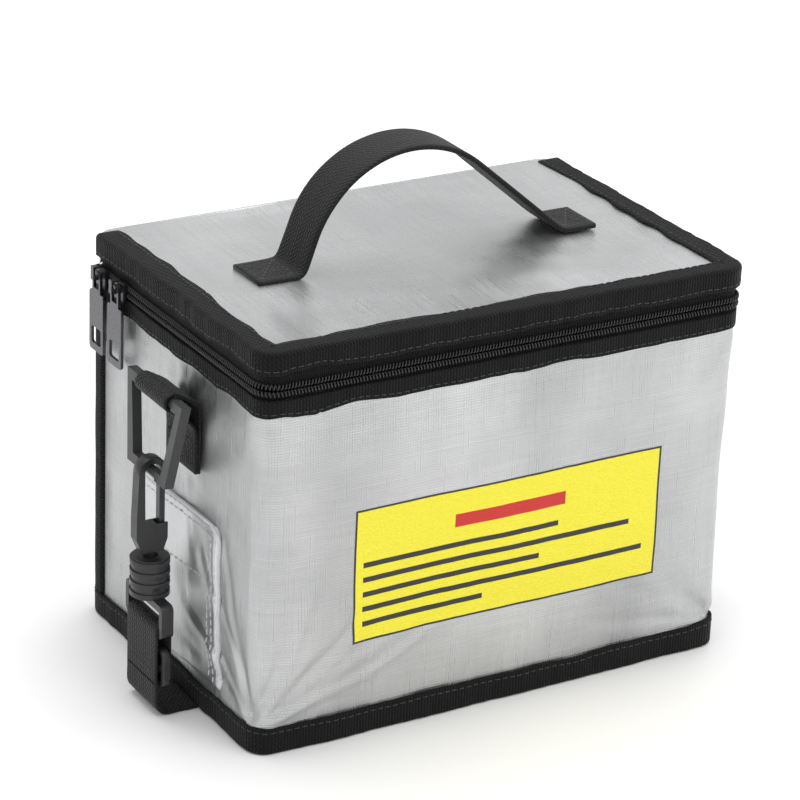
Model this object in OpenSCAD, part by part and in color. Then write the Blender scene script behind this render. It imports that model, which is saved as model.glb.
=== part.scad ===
// Box-shaped padded safe bag: silver fabric body, zipped lid, webbing handle,
// a D-ring on each side and a strap clipped to both with swivel snap hooks.
// Millimetres. X is the width (right is +), -Y is the front, Z is up.
// The bag rests on Z = 0 and is centred on X = 0, Y = 0.

/* [Bag] */
// Overall width across the side bindings
bag_width = 215; // [200:1:230]
// Overall depth across the front and back bindings
bag_depth = 145; // [135:1:160]
// Height of the closed lid above the floor
bag_height = 165; // [160:1:180]
// Plan radius of the vertical corners of the fabric
corner_radius = 8; // [6:0.5:12]
// Thickness of the padding in the walls
wall_pad = 2.4; // [1.5:0.1:4]
// Thickness of the padding in the lid
lid_pad = 3; // [2:0.1:4]
// Thickness of the stiff board in the floor of the bag
board = 2; // [1:0.1:3]

/* [Zip] */
// Height of the lid above the line where the zip parts
lid_depth = 15; // [14:0.5:18]
// Radius of each row of zip coil
coil_radius = 1; // [0.8:0.05:1]
// Length of a zip pull
pull_length = 33; // [26:1:36]
// Width of a zip pull
pull_width = 12; // [10:0.5:14]

/* [Handle] */
// Width of the handle webbing
handle_width = 22; // [18:1:30]
// Thickness of the doubled handle webbing
handle_thick = 2.2; // [1.6:0.1:3]
// Height of the top of the handle above the lid
handle_rise = 46; // [43:0.5:50]
// How far the top of the handle leans to the left
handle_lean = 9; // [7:0.5:11]
// Distance from the middle of the lid to the inner end of each handle tab
tab_inner = 53; // [50:0.5:54]

/* [Strap and hardware] */
// Width of the strap webbing and of the two ring tabs
strap_width = 25; // [20:1:25]
// Thickness of the strap webbing
strap_thick = 1.1; // [0.9:0.05:1.15]
// Y position of the two rings and of the strap
strap_y = -14; // [-20:1:-8]
// Height of the folded hank of spare strap
hank_height = 88; // [60:1:90]

/* [Side pocket] */
// Length of the flat pocket on the left side
pocket_length = 62; // [40:1:64]
// Height of the top edge of the pocket above the floor
pocket_top = 83; // [60:1:90]

/* [Hidden] */
$fn = 48;
e = 0.01;
fabric = 0.6;                  // thickness of the woven skin and of the lining
bind = 1.4;                    // how far the bindings stand out of the skin
hx = bag_width / 2;
hy = bag_depth / 2;
sx = hx - bind;                // outer face of the skin
sy = hy - bind;
cr = corner_radius;
zz = bag_height - lid_depth;   // the plane where the zip parts
floor_z = 1.8;                 // underside of the bottom panel
bind_h = 11;                   // height of the bottom binding
zip_end = sy - cr;             // the tapes stop at the back corners
coil_end = zip_end - 1.7;      // the coils stop just short, at the end stops
coil_x = sx - fabric + coil_radius;
wall = fabric + wall_pad + fabric;
// hardware
hz = zz - 50;                  // height of the lower bar of the rings
hkx = hx + 15;                 // the line the hooks hang on
px = hx + 12;                  // the bar the rings swing on
pz = zz - 19;
ring_tilt = atan2(hkx - px, pz - hz);
ring_len = norm([hkx - px, pz - hz]);
tail_z = hz - 86;              // lower end of the doubled strap tails
ply = 2.3;                     // inner face of each ply of a doubled strap tail
end_x = hkx + ply + strap_thick / 2;
end_r = 6;
pitch = strap_thick + 0.15;    // pitch of the runs in the hank
run_x = hx + 1.9;              // centre line of the first run
foot_r = 2.6;
handle_cut = bag_height + 13;  // above this the handle swings, below it bends
tab_len = 23;
// sliders
slider_y = [coil_end - 20.4, coil_end - 4.4];
plate_x = coil_x + coil_radius + 0.5;
pull_x = plate_x + 2.6;
pull_z = zz + 1.8;

silver = [0.80, 0.81, 0.82];
black = [0.08, 0.08, 0.09];
steel = [0.45, 0.46, 0.48];

// ---- helpers -------------------------------------------------------------

// rounded rectangle given by its half sizes
module rr(a, b, r) {
    square([2 * (a - r), 2 * b], center = true);
    square([2 * a, 2 * (b - r)], center = true);
    for (x = [-1, 1], y = [-1, 1]) translate([x * (a - r), y * (b - r)]) circle(r = r);
}

// band of thickness t just inside a rounded rectangle
module band(a, b, r, t) {
    difference() { rr(a, b, r); rr(a - t, b - t, max(r - t, 0.3)); }
}

// keep what is in front of y
module ahead(y) {
    intersection() { children(); translate([-200, -200]) square([400, 200 + y]); }
}

// keep what is behind y
module behind(y) {
    difference() { children(); translate([-200, -200]) square([400, 200 + y]); }
}

module slab(z0, z1) { translate([0, 0, z0]) linear_extrude(z1 - z0) children(); }

// a profile drawn in X and Z, run w along Y about the strap's centre line
module across(w) { translate([0, strap_y, 0]) rotate([90, 0, 0]) linear_extrude(w, center = true) children(); }

// a profile drawn in Y and Z, t thick along X
module facing(t) { rotate([90, 0, 90]) linear_extrude(t, center = true) children(); }

// quarter or half ring of webbing about a centre, from angle a0 to a1 (at most 180 apart)
module bend(c, r, a0, a1) {
    translate(c) rotate(a0) difference() {
        circle(r = r + strap_thick / 2);
        circle(r = r - strap_thick / 2);
        translate([-20, -20]) square([40, 20]);
        if (a1 - a0 < 179) rotate(a1 - a0) translate([-20, 0]) square([40, 20]);
    }
}

// straight run of webbing between two points on one axis
module run(a, b) {
    t = strap_thick / 2;
    translate([min(a.x, b.x) - (a.x == b.x ? t : 0), min(a.y, b.y) - (a.y == b.y ? t : 0)])
        square([abs(a.x - b.x) + (a.x == b.x ? 2 * t : 0), abs(a.y - b.y) + (a.y == b.y ? 2 * t : 0)]);
}

// coil row along the front and both sides at height z
module coil(z) {
    r = cr - fabric + coil_radius;
    a = coil_x - r;
    b = sy - fabric + coil_radius - r;
    translate([0, 0, z]) {
        translate([0, -b - r, 0]) rotate([0, 90, 0]) cylinder(r = coil_radius, h = 2 * a, center = true);
        for (s = [-1, 1]) {
            translate([s * coil_x, (coil_end - b) / 2, 0]) rotate([90, 0, 0]) cylinder(r = coil_radius, h = coil_end + b, center = true);
            translate([s * a, -b, 0]) rotate([0, 0, s < 0 ? 180 : 270]) rotate_extrude(angle = 90) translate([r, 0]) circle(r = coil_radius);
        }
    }
}

// ---- body of the bag -------------------------------------------------------

module outer_shell() color(silver) slab(floor_z + fabric, zz - 4) ahead(sy - 6) band(sx, sy, cr, fabric);

module back_panel() color(silver) slab(floor_z + fabric, zz - 0.4) behind(sy - 6) band(sx, sy, cr, fabric);

module bottom_panel() color(silver) slab(floor_z, floor_z + fabric) rr(sx, sy, cr);

module wall_padding() color([0.93, 0.93, 0.90])
    slab(floor_z + fabric + board, zz - 5) band(sx - fabric, sy - fabric, cr - fabric, wall_pad);

module base_board() color([0.35, 0.33, 0.30])
    slab(floor_z + fabric, floor_z + fabric + board) rr(sx - fabric, sy - fabric, cr - fabric);

module lining() color([0.55, 0.56, 0.58]) {
    z0 = floor_z + fabric + board;
    a = fabric + wall_pad;
    slab(z0, z0 + fabric) rr(sx - a, sy - a, cr - a);
    slab(z0 + fabric - e, zz - 5) band(sx - a, sy - a, cr - a, fabric);
}

// wraps the bottom edge and is notched where the strap runs under the bag
module bottom_binding() color(black) difference() {
    union() {
        slab(0, bind_h) band(hx, hy, cr + bind, bind);
        slab(0, floor_z) band(hx, hy, cr + bind, 9);
    }
    translate([-200, strap_y - strap_width / 2 - 1, -1]) cube([400, strap_width + 2, 1 + floor_z]);
}

module back_corner_binding() {
    slab(bind_h, zz - 11) intersection() {
        band(hx, hy, cr + bind, bind);
        translate([-hx - 1, hy - 14]) square([15, 15]);
    }
    slab(zz - 11 - e, zz - 0.6) intersection() {
        band(hx, hy, cr + bind, bind);
        translate([-hx - 1, zip_end + 0.1]) square([15, 20]);
    }
}
module back_left_binding() color(black) back_corner_binding();
module back_right_binding() color(black) mirror([1, 0, 0]) back_corner_binding();

module rim_band() color(black) slab(zz - 11, zz - 4) ahead(zip_end) band(sx + 0.8, sy + 0.8, cr + 0.8, 0.8);

module lower_zip_tape() color(black) slab(zz - 4.9, zz - 0.7) ahead(zip_end) band(sx - fabric, sy - fabric, cr - fabric, fabric);

module lower_zip_coil() color(black) coil(zz - 0.65 - coil_radius);

module zip_stops() color(steel) for (s = [-1, 1])
    translate([s * coil_x, coil_end + 0.8, zz - 0.65 - coil_radius]) cube([2 * coil_radius, 1.4, 2 * coil_radius], center = true);

// flat sewn pocket on the left wall, its top front corner cut off
module side_pocket() color(silver)
    translate([-sx - 0.5, 0, 0]) facing(1)
        polygon([[-42, 14.5], [-42, pocket_top - 5], [-38, pocket_top], [-42 + pocket_length, pocket_top], [-42 + pocket_length, 14.5]]);

// ---- ring tabs and rings, drawn on the left -------------------------------

module ring_tab() {
    a = atan2(-5.5, px - sx - 1.1);
    across(strap_width) {
        translate([-sx - 2.2, zz - 50]) square([2.2, 27.5]);
        difference() {
            translate([-px, pz]) rotate(a) {
                circle(r = 4);
                translate([0, -4]) square([px - sx, 8]);
            }
            translate([-px, pz]) rotate(a) {
                circle(r = 2.8);
                translate([0, -2.8]) square([8, 5.6]);
            }
            translate([-sx, 0]) square([40, 300]);
        }
    }
}
module left_ring_tab() color(black) ring_tab();
module right_ring_tab() color(black) mirror([1, 0, 0]) ring_tab();

// four-sided ring: flat legs, with both bars round where webbing or hook bears
module ring() {
    translate([-px, strap_y, pz]) rotate([0, ring_tilt, 0]) {
        facing(4) difference() {
            polygon([[-22.5, 2], [22.5, 2], [15.5, -ring_len - 2], [-15.5, -ring_len - 2]]);
            polygon([[-18, -2], [18, -2], [11.5, -ring_len + 2], [-11.5, -ring_len + 2]]);
            translate([-14, -3]) square([28, 6]);
            translate([-7, -ring_len - 3]) square([14, 6]);
        }
        rotate([90, 0, 0]) cylinder(r = 2, h = 28 + 2 * e, center = true);
        translate([0, 0, -ring_len]) rotate([90, 0, 0]) cylinder(r = 2, h = 14 + 2 * e, center = true);
    }
}
module left_ring() color([0.40, 0.41, 0.43]) ring();
module right_ring() color([0.40, 0.41, 0.43]) mirror([1, 0, 0]) ring();

// ---- swivel snap hooks, drawn on the left ----------------------------------

module hook() {
    translate([-hkx, 0, hz]) {
        difference() {
            across(5.2) {
                translate([0, -0.7]) difference() {
                    circle(r = 6);
                    circle(r = 3.5);
                    translate([-10, -10]) square([20, 10]);
                }
                polygon([[-6, -0.7 + e], [-3.5, -0.7 + e], [-3.3, -20], [-2, -22.4], [6.2, -22.4], [6.2, -29], [4.4, -34], [-4.4, -34], [-6.9, -28], [-6.9, -20]]);
                translate([3.5, -5.2]) square([2.5, 4.5 + e]);
            }
            translate([1.8, strap_y - 1.9, -28.1]) cube([8, 3.8, 8]);
        }
        // gate pin
        translate([4.1, strap_y, -25.5]) rotate([90, 0, 0]) cylinder(r = 0.8, h = 5, center = true);
        // neck and the flange that keeps it in the swivel base
        translate([0, strap_y, -41]) cylinder(r = 2.4, h = 7.2);
        translate([0, strap_y, -43.2]) cylinder(r = 4.3, h = 2.6);
    }
}
module left_hook() color([0.20, 0.20, 0.22]) hook();
module right_hook() color([0.20, 0.20, 0.22]) mirror([1, 0, 0]) hook();

module gate() {
    translate([-hkx, 0, hz]) across(3) difference() {
        union() {
            translate([4.1, -25.5]) circle(r = 1.9);
            translate([3.1, -25.5]) square([2.3, 19.7]);
        }
        translate([4.1, -25.5]) circle(r = 1.15);
    }
}
module left_gate() color([0.26, 0.26, 0.28]) gate();
module right_gate() color([0.26, 0.26, 0.28]) mirror([1, 0, 0]) gate();

// ribbed barrel the hook turns in, with the frame the strap is sewn round
module swivel_base() {
    translate([-hkx, strap_y, hz]) {
        difference() {
            union() {
                translate([0, 0, -52]) cylinder(r = 7.2, h = 16);
                for (z = [-52, -47.6, -43.2, -38.8]) translate([0, 0, z]) cylinder(r = 7.8, h = 2.2);
            }
            translate([0, 0, -49.5]) cylinder(r = 4.9, h = 9.5);
            translate([0, 0, -42]) cylinder(r = 2.9, h = 8);
        }
        facing(5) difference() {
            translate([0, -58.6]) rr(15.5, 6.9, 2.4);
            translate([-13, -67]) square([26, 12.5]);
        }
        translate([0, 0, -63.5]) rotate([90, 0, 0]) cylinder(r = 2, h = 27, center = true);
    }
}
module left_swivel_base() color([0.22, 0.22, 0.24]) swivel_base();
module right_swivel_base() color([0.22, 0.22, 0.24]) mirror([1, 0, 0]) swivel_base();

// webbing doubled round the bar of the swivel base
module strap_tail() {
    translate([-hkx, 0]) across(strap_width) {
        translate([0, hz - 63.5]) difference() {
            circle(r = ply + strap_thick);
            circle(r = ply);
            translate([-10, -20]) square([20, 20]);
        }
        for (s = [-1, 1]) translate([s * (ply + strap_thick / 2), 0]) run([0, tail_z], [0, hz - 63.5 + e]);
    }
}
module left_strap_tail() color(black) strap_tail();
module right_strap_tail() color(black) mirror([1, 0, 0]) strap_tail();

// three-bar buckle between the two plies of the left tail
module strap_adjuster() color([0.14, 0.14, 0.15])
    translate([-hkx, strap_y, tail_z - 1]) facing(3) difference() {
        translate([0, 8]) rr(15.5, 8, 4);
        for (z = [2.5, 9.5]) translate([-13, z]) square([26, 4]);
    }

// ---- the rest of the strap -------------------------------------------------

// from the tail down to the floor and in towards the bag
module strap_end(x1) {
    bend([-end_x + end_r, end_r + strap_thick / 2], end_r, 180, 270);
    run([-end_x, end_r + strap_thick / 2 - e], [-end_x, tail_z - 0.3]);
    run([-end_x + end_r - e, strap_thick / 2], [-x1, strap_thick / 2]);
}
module strap_left_end() color(black) across(strap_width) strap_end(hx + 5);
module strap_right_end() color(black) mirror([1, 0, 0]) across(strap_width) strap_end(run_x + 3 * pitch + foot_r + 1.2);

module strap_under() color(black) across(strap_width)
    run([-hx - 5, strap_thick / 2], [run_x - foot_r, strap_thick / 2]);

// four runs of spare webbing standing against the right wall
module strap_hank() color(black) across(strap_width) {
    t = strap_thick / 2;
    bend([run_x - foot_r, foot_r + t], foot_r, 270, 360);
    run([run_x, foot_r + t - e], [run_x, hank_height]);
    bend([run_x + pitch / 2, hank_height], pitch / 2, 0, 180);
    run([run_x + pitch, 5], [run_x + pitch, hank_height]);
    bend([run_x + pitch * 1.5, 5], pitch / 2, 180, 360);
    run([run_x + 2 * pitch, 5], [run_x + 2 * pitch, hank_height]);
    bend([run_x + pitch * 2.5, hank_height], pitch / 2, 0, 180);
    run([run_x + 3 * pitch, foot_r + t - e], [run_x + 3 * pitch, hank_height]);
    bend([run_x + 3 * pitch + foot_r, foot_r + t], foot_r, 180, 270);
    run([run_x + 3 * pitch + foot_r - e, t], [run_x + 3 * pitch + foot_r + 1.2, t]);
}

module strap_keeper() color([0.16, 0.16, 0.17]) translate([0, strap_y, 40]) linear_extrude(10) {
    x0 = run_x - strap_thick / 2;
    x1 = run_x + 3 * pitch + strap_thick / 2;
    w = strap_width / 2;
    difference() {
        translate([x0 - 0.6, -w - 0.8]) square([x1 - x0 + 1.2, 2 * w + 1.6]);
        translate([x0 - 0.1, -w - 0.1]) square([x1 - x0 + 0.2, 2 * w + 0.2]);
    }
}

// ---- lid -------------------------------------------------------------------

module lid_panel() color(silver) {
    slab(bag_height - 1.4, bag_height - 0.8) rr(sx, sy, cr);
    slab(zz + 4, bag_height - 1.4 + e) ahead(sy - 6) band(sx, sy, cr, fabric);
}

module lid_back_strip() color(silver) slab(zz + 0.4, bag_height - 1.4) behind(sy - 6) band(sx, sy, cr, fabric);

module lid_padding() color([0.93, 0.93, 0.90])
    slab(bag_height - 1.4 - lid_pad, bag_height - 1.4) rr(sx - fabric, sy - fabric, cr - fabric);

module lid_lining() color([0.55, 0.56, 0.58])
    slab(bag_height - 2 - lid_pad, bag_height - 1.4 - lid_pad) rr(sx - fabric, sy - fabric, cr - fabric);

module lid_binding() color(black) {
    slab(zz + 6, bag_height) ahead(sy - 6) band(hx, hy, cr + bind, bind);
    slab(bag_height - 0.8, bag_height) ahead(sy - 6) band(hx, hy, cr + bind, 9);
}

module upper_zip_tape() color(black) slab(zz + 0.7, zz + 6) ahead(zip_end) band(sx - fabric, sy - fabric, cr - fabric, fabric);

module upper_zip_coil() color(black) coil(zz + 0.65 + coil_radius);

// ---- handle ----------------------------------------------------------------

module handle_tabs() color(black) for (s = [-1, 1])
    translate([s * (tab_inner + tab_len / 2), 0, bag_height]) cube([tab_len, handle_width, 1.6], center = true);

// side line of the handle at radius r: a steep leg, an arc and a long sloping leg
function handle_line(r) = concat(
    [[r * cos(160) + 24 * cos(250), r * sin(160) + 24 * sin(250)]],
    [for (t = [160:-5:50]) [r * cos(t), r * sin(t)]],
    [[r * cos(50) + 60 * cos(-40), r * sin(50) + 60 * sin(-40)]]);

module handle_arch() rotate([90, 0, 0]) linear_extrude(handle_width, center = true) translate([-handle_lean, bag_height]) {
    outer = handle_line(handle_rise);
    inner = handle_line(handle_rise - handle_thick);
    n = len(inner);
    polygon(concat(outer, [for (i = [n - 1:-1:0]) inner[i]]));
}

module handle_legs() color(black) intersection() {
    handle_arch();
    translate([-100, -100, bag_height + 0.8]) cube([200, 200, handle_cut - bag_height - 1.1]);
}

module handle_strap() color(black) intersection() {
    handle_arch();
    translate([-100, -100, handle_cut]) cube([200, 200, 100]);
}

// ---- sliders and pulls -----------------------------------------------------

module slider(y) translate([0, y, zz]) {
    translate([-plate_x - 1.2, -4, -4]) cube([1.2, 8, 8]);
    translate([-sx + 2 * fabric + 0.8, -4, -3.4]) cube([1, 8, 6.8]);
    translate([-plate_x - e, -2.5, -0.25]) cube([plate_x - sx + 2 * fabric + 0.8 + 2 * e, 5, 0.5]);
    // staple that holds the pull
    rotate([90, 0, 0]) linear_extrude(2.4, center = true) difference() {
        translate([-plate_x - 5, -0.7]) square([3.9, 5.7]);
        translate([-plate_x - 4, 0.3]) square([2.8, 3.7]);
    }
}
module front_slider() color(steel) slider(slider_y[0]);
module rear_slider() color(steel) slider(slider_y[1]);

module pull(y) translate([-pull_x, y, pull_z]) facing(1.2) {
    w = pull_width / 2;
    difference() {
        union() {
            translate([-3.4, -10]) square([6.8, 10.7]);
            translate([0, -8 - (pull_length - 8) / 2]) rr(w, (pull_length - 8) / 2, 1.6);
        }
        translate([-2.2, -6.5]) square([4.4, 5.8]);
        translate([0, 6.5 - pull_length]) rr(w - 1.9, 3.5, 1);
    }
}
module front_pull() color(steel) pull(slider_y[0]);
module rear_pull() color(steel) pull(slider_y[1]);

outer_shell();
back_panel();
bottom_panel();
wall_padding();
base_board();
lining();
bottom_binding();
back_left_binding();
back_right_binding();
rim_band();
lower_zip_tape();
lower_zip_coil();
zip_stops();
side_pocket();
left_ring_tab();
right_ring_tab();
strap_left_end();
strap_under();
strap_hank();
strap_right_end();
strap_keeper();
lid_panel();
lid_back_strip();
lid_padding();
lid_lining();
lid_binding();
upper_zip_tape();
upper_zip_coil();
handle_tabs();
handle_legs();
handle_strap();
front_slider();
rear_slider();
front_pull();
rear_pull();
left_ring();
left_swivel_base();
left_strap_tail();
left_hook();
left_gate();
right_ring();
right_swivel_base();
right_strap_tail();
right_hook();
right_gate();
strap_adjuster();
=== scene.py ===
"""Looks for the box-shaped padded safe bag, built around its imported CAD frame.

Shapes are in millimetres until make() turns them into metres; the periods and depths inside
materials are metres. The frame is the CAD's: X is the width, -Y the front, Z up, floor at Z = 0.
"""
import math

import bpy
import numpy as np
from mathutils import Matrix, Quaternion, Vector
from mathutils.bvhtree import BVHTree


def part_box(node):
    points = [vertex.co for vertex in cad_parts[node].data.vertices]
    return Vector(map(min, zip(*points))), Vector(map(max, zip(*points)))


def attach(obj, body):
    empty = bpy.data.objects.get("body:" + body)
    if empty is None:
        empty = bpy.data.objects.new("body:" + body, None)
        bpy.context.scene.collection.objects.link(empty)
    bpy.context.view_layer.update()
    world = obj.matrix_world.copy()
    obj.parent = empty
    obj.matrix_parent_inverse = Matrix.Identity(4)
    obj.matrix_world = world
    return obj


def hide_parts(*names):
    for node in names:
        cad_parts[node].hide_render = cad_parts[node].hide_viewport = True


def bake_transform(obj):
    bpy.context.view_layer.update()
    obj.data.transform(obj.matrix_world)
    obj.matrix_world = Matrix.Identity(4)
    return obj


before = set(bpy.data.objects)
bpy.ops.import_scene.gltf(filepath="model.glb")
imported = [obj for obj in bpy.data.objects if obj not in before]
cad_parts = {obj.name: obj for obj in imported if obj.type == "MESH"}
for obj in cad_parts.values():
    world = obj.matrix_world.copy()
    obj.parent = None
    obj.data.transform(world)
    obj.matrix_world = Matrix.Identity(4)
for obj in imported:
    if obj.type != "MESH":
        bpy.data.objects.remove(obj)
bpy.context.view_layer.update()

MM = 0.001


def node_box(name):
    lo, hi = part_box(name)
    return np.array(lo) / MM, np.array(hi) / MM


# ---- the few sizes everything else hangs on, read from the frame ----

HX, HY = node_box("bottom_binding")[1][:2]  # half sizes across the bindings
SX, SY = node_box("bottom_panel")[1][:2]  # half sizes across the cloth
OUT = HX - SX  # how far the bindings stand out
BIND_HI = node_box("bottom_binding")[1][2]
RIM_LO, RIM_HI = (end[2] for end in node_box("rim_band"))
U_END = node_box("rim_band")[1][1]  # the zip ends here, near the back corners
SEAM = node_box("lower_zip_coil")[1][2] + 0.65  # where the zip parts
TOP = node_box("lid_binding")[1][2]
STRAP_LO, STRAP_HI = (end[1] for end in node_box("strap_under"))
STRAP_Y = (STRAP_LO + STRAP_HI) / 2
STRAP_W = STRAP_HI - STRAP_LO
PLY = 0.55  # half the thickness of the webbing
HOOK_X = -sum(end[0] for end in node_box("left_swivel_base")) / 2
BAR_X, BAR_Z = HX + 12, SEAM - 19  # the ring's upper bar
CORNER = 8.0  # corner radius of the bag seen from above
LABEL = (-66.5, 71.0, 40.0, 95.5)  # x0, x1, z0, z1 on the front


# ---- mesh helpers ----

def make(name, verts, faces, uv, mat=None, body=None, slot=None, nodes=()):
    """Mesh object from millimetre vertices; uv is one pair per face corner, in mm."""
    me = bpy.data.meshes.new(name)
    me.from_pydata((np.asarray(verts, float) * MM).tolist(), [], [list(map(int, f)) for f in faces])
    me.uv_layers.new(name="UVMap").data.foreach_set("uv", (np.asarray(uv, float) * MM).ravel())
    me.polygons.foreach_set("use_smooth", [True] * len(me.polygons))
    me.update()
    ob = bpy.data.objects.new(name, me)
    bpy.context.scene.collection.objects.link(ob)
    if mat:
        me.materials.append(mat)
    if body:
        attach(ob, body)
    if nodes:
        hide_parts(*nodes)
    return ob


def grid(P, UV, wrap_u=False, wrap_v=False, caps=False, flip=False):
    """Vertices, faces and corner UVs of a grid P[nu, nv, 3]. UV has one more row or column where it wraps."""
    nu, nv = P.shape[:2]
    i, j = np.meshgrid(np.arange(nu - (not wrap_u)), np.arange(nv - (not wrap_v)), indexing="ij")
    i, j = i.ravel(), j.ravel()
    corners = [(i, j), (i + 1, j), (i + 1, j + 1), (i, j + 1)]
    if flip:
        corners = corners[::-1]
    faces = np.stack([(a % nu) * nv + (b % nv) for a, b in corners], 1).tolist()
    uv = np.stack([UV[a, b] for a, b in corners], 1).reshape(-1, 2)
    if caps:
        for row, forward in ((0, not flip), (nu - 1, flip)):
            cap = [row * nv + k for k in range(nv)]
            faces.append(cap if forward else cap[::-1])
            uv = np.vstack([uv, np.tile(UV[row, 0], (nv, 1))])
    return P.reshape(-1, 3), faces, uv


def tree_of(verts, faces):
    return BVHTree.FromPolygons([tuple(p) for p in verts.tolist()], faces)


def first_again(A):
    """The rows of A with its first row once more at the end."""
    return np.concatenate([A, A[:1]], 0)


def arc_points(cx, cy, r, degrees):
    return [(cx + r * math.cos(math.radians(a)), cy + r * math.sin(math.radians(a))) for a in degrees]


def arc_length(points):
    """Distance along a row of points, from its first."""
    return np.concatenate([[0], np.cumsum(np.linalg.norm(np.diff(points, axis=0), axis=1))])


def down_length(A):
    """Distance down each row of a grid of points, from its first column."""
    steps = np.linalg.norm(np.diff(A, axis=1), axis=-1)
    return np.concatenate([np.zeros((len(A), 1)), np.cumsum(steps, 1)], 1)


def perimeter(a, b, r, step=3.0, y_end=None):
    """Points, outward normals and arc length round a rounded rectangle seen from above.

    Closed: from the middle of the back round by the left. With y_end: left side, front, right side.
    """
    rows = []

    def line(p, q, n):
        k = max(1, int(round(math.dist(p, q) / step)))
        rows.extend((p[0] + (q[0] - p[0]) * t / k, p[1] + (q[1] - p[1]) * t / k, *n) for t in range(k))

    def corner(cx, cy, start):
        k = max(5, int(round(r * math.radians(90) / min(step, 1.6))))
        for t in range(k):
            w = math.radians(start + 90 * t / k)
            rows.append((cx + r * math.cos(w), cy + r * math.sin(w), math.cos(w), math.sin(w)))

    top = b - r if y_end is None else y_end
    if y_end is None:
        line((0, b), (r - a, b), (0, 1))
        corner(r - a, b - r, 90)
    line((-a, top), (-a, r - b), (-1, 0))
    corner(r - a, r - b, 180)
    line((r - a, -b), (a - r, -b), (0, -1))
    corner(a - r, r - b, 270)
    line((a, r - b), (a, top), (1, 0))
    if y_end is None:
        corner(a - r, b - r, 0)
        line((a - r, b), (0, b), (0, 1))
    else:
        rows.append((a, top, 1, 0))
    P, N = np.array(rows, float)[:, :2], np.array(rows, float)[:, 2:]
    return P, N, arc_length(first_again(P) if y_end is None else P)


def stand_off(P, N, D, z):
    """Grid of points standing D outward of a plan path, at heights z."""
    V = np.zeros(np.broadcast_shapes((len(P), 1), np.shape(D), np.shape(z)) + (3,))
    V[..., 0] = P[:, None, 0] + N[:, None, 0] * D
    V[..., 1] = P[:, None, 1] + N[:, None, 1] * D
    V[..., 2] = z
    return V


def waves(seed, n, size, stretch=(1, 1)):
    """A smooth random field of about that feature size, as a function of two coordinates."""
    g = np.random.default_rng(seed)
    k = g.normal(size=(n, 2)) * (2 * math.pi / size) * 0.5 / np.array(stretch)
    phase = g.uniform(0, 2 * math.pi, n)

    def field(x, y):
        turn = np.multiply.outer(x, k[:, 0]) + np.multiply.outer(y, k[:, 1]) + phase
        return np.sin(turn).sum(-1) / math.sqrt(n / 2)

    return field


def on_line(field, s):
    return field(s, s * 0)


def on_grid(field, x, y):
    """The field over the grid that a column x and a row y make."""
    return field(x + 0 * y, y + 0 * x)


def drift(seed, wobble, s):
    """How far a soft tape wanders outward and upward at arc length s."""
    slow, quick = waves(seed, 14, 26), waves(seed + 50, 14, 9)
    outward = 0.7 * on_line(slow, s) + 0.4 * on_line(quick, s)
    upward = 0.8 * on_line(slow, s + 333) + 0.3 * on_line(quick, s + 99)
    return wobble * outward, wobble * upward


def sweep(name, profile, path, wobble, seed, lift=None, zfree=lambda d, z: 0.5, inner=0.0, **kw):
    """Tape or binding: a (d, z) profile carried along a plan path; d is measured outward.

    zfree gives how freely each profile point wanders in z; inner is the wander of the edge on a flat face.
    """
    P, N, S = path
    closed = len(S) == len(P) + 1
    prof = np.array(profile, float)
    d, z = prof[:, 0], prof[:, 1]
    s = S[:len(P)]
    outward, upward = drift(seed, wobble, s)
    D = d[None] + outward[:, None] * np.clip((d - d.min()) / max(np.ptp(d), 0.1), 0, 1)[None]
    D = D + inner * on_line(waves(seed + 7, 16, 22), s)[:, None] * (d < -5)[None]
    V = stand_off(P, N, D, z[None] + upward[:, None] * (zfree(d, z) + 0 * z)[None])
    if lift:
        V = lift(V)
    UV = np.stack(np.meshgrid(S, arc_length(first_again(prof)), indexing="ij"), -1)
    return make(name, *grid(V, UV, wrap_u=closed, wrap_v=True, caps=not closed), **kw)


def catmull_rom(a, b, c, d, t):
    """Share t of the way from b to c on the smooth curve through all four."""
    bend, twist = 2 * a - 5 * b + 4 * c - d, 3 * b - a - 3 * c + d
    return 0.5 * (2 * b + (c - a) * t + bend * t ** 2 + twist * t ** 3)


def smooth_path(points, step=1.2):
    """Smooth curve through points, sampled evenly."""
    p = np.array(points, float)
    p = np.vstack([2 * p[0] - p[1], p, 2 * p[-1] - p[-2]])
    out = []
    for k in range(1, len(p) - 2):
        n = max(2, int(np.linalg.norm(p[k + 1] - p[k]) / 0.3))
        t = np.linspace(0, 1, n, endpoint=False)[:, None]
        out.append(catmull_rom(p[k - 1], p[k], p[k + 1], p[k + 2], t))
    q = np.vstack(out + [p[-2][None]])
    s = arc_length(q)
    even = np.linspace(0, s[-1], max(3, int(s[-1] / step)))
    return np.stack([np.interp(even, s, q[:, k]) for k in range(q.shape[1])], 1)


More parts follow.
